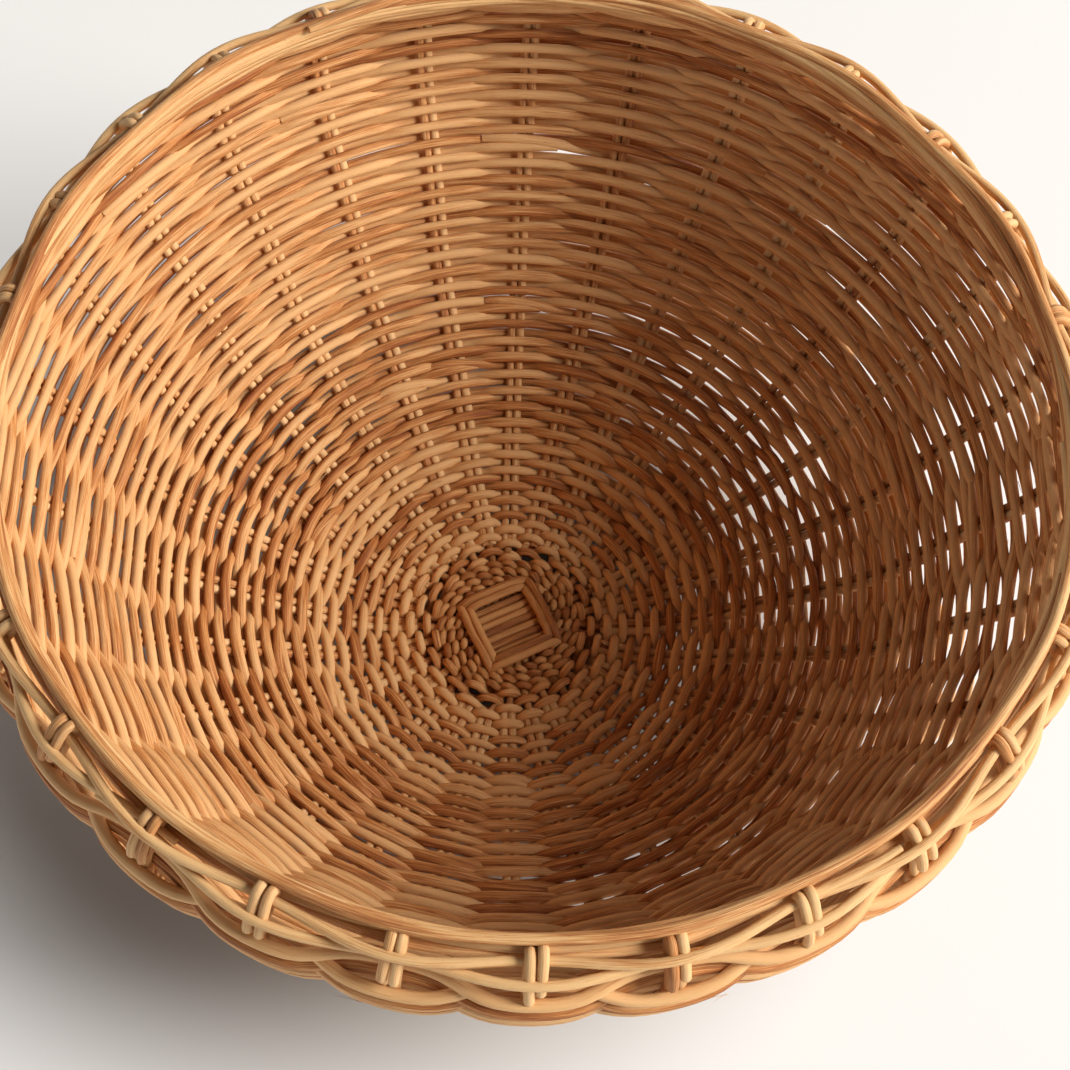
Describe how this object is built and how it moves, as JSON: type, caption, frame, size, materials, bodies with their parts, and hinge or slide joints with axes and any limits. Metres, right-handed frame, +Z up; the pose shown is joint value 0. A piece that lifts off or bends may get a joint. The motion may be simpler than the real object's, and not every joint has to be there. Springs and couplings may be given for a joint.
{
  "type": "wicker basket",
  "caption": "Round deep bowl-shaped wicker basket in plain weave over paired stakes, with a cross-stick base and a woven rod border; holds bread, fruit or laundry.",
  "frame": {"origin": "the middle of the underside of the base, on the surface the basket stands on", "axes": "+Z is up and is the basket's axis; the first pair of stakes is on -Y and X runs to the right as it is seen from there"},
  "size_m": [0.4003, 0.4004, 0.1906],
  "materials": {
    "base_stick_reed": "peeled rattan reed, unvarnished",
    "stake_reed": "peeled rattan reed, unvarnished",
    "weaving_reed": "peeled rattan reed, unvarnished",
    "border_reed": "peeled rattan reed, unvarnished"
  },
  "bodies": {
    "root": {"base_stick_lower_1": "base_stick_reed", "base_stick_lower_2": "base_stick_reed", "base_stick_lower_3": "base_stick_reed", "base_stick_lower_4": "base_stick_reed", "base_stick_lower_5": "base_stick_reed", "base_stick_lower_6": "base_stick_reed", "base_stick_lower_7": "base_stick_reed", "base_stick_upper_1": "base_stick_reed", "base_stick_upper_2": "base_stick_reed", "base_stick_upper_3": "base_stick_reed", "base_stick_upper_4": "base_stick_reed", "base_stick_upper_5": "base_stick_reed", "base_stick_upper_6": "base_stick_reed", "base_stick_upper_7": "base_stick_reed", "cross_binding": "weaving_reed", "base_twining": "weaving_reed", "base_weaving": "weaving_reed", "weave_band_01": "weaving_reed", "weave_band_02": "weaving_reed", "weave_band_03": "weaving_reed", "weave_band_04": "weaving_reed", "weave_band_05": "weaving_reed", "weave_band_06": "weaving_reed", "weave_band_07": "weaving_reed", "weave_band_08": "weaving_reed", "weave_band_09": "weaving_reed", "weave_band_10": "weaving_reed", "stake_pair_01": "stake_reed", "stake_pair_02": "stake_reed", "stake_pair_03": "stake_reed", "stake_pair_04": "stake_reed", "stake_pair_05": "stake_reed", "stake_pair_06": "stake_reed", "stake_pair_07": "stake_reed", "stake_pair_08": "stake_reed", "stake_pair_09": "stake_reed", "stake_pair_10": "stake_reed", "stake_pair_11": "stake_reed", "stake_pair_12": "stake_reed", "stake_pair_13": "stake_reed", "stake_pair_14": "stake_reed", "stake_pair_15": "stake_reed", "stake_pair_16": "stake_reed", "stake_pair_17": "stake_reed", "stake_pair_18": "stake_reed", "stake_pair_19": "stake_reed", "stake_pair_20": "stake_reed", "stake_pair_21": "stake_reed", "stake_pair_22": "stake_reed", "stake_pair_23": "stake_reed", "stake_pair_24": "stake_reed", "stake_pair_25": "stake_reed", "stake_pair_26": "stake_reed", "stake_pair_27": "stake_reed", "stake_pair_28": "stake_reed", "border_rod_inner": "border_reed", "border_rod_outer": "border_reed", "border_rod_top_inner": "border_reed", "border_rod_top_outer": "border_reed"}
  },
  "joints": []
}
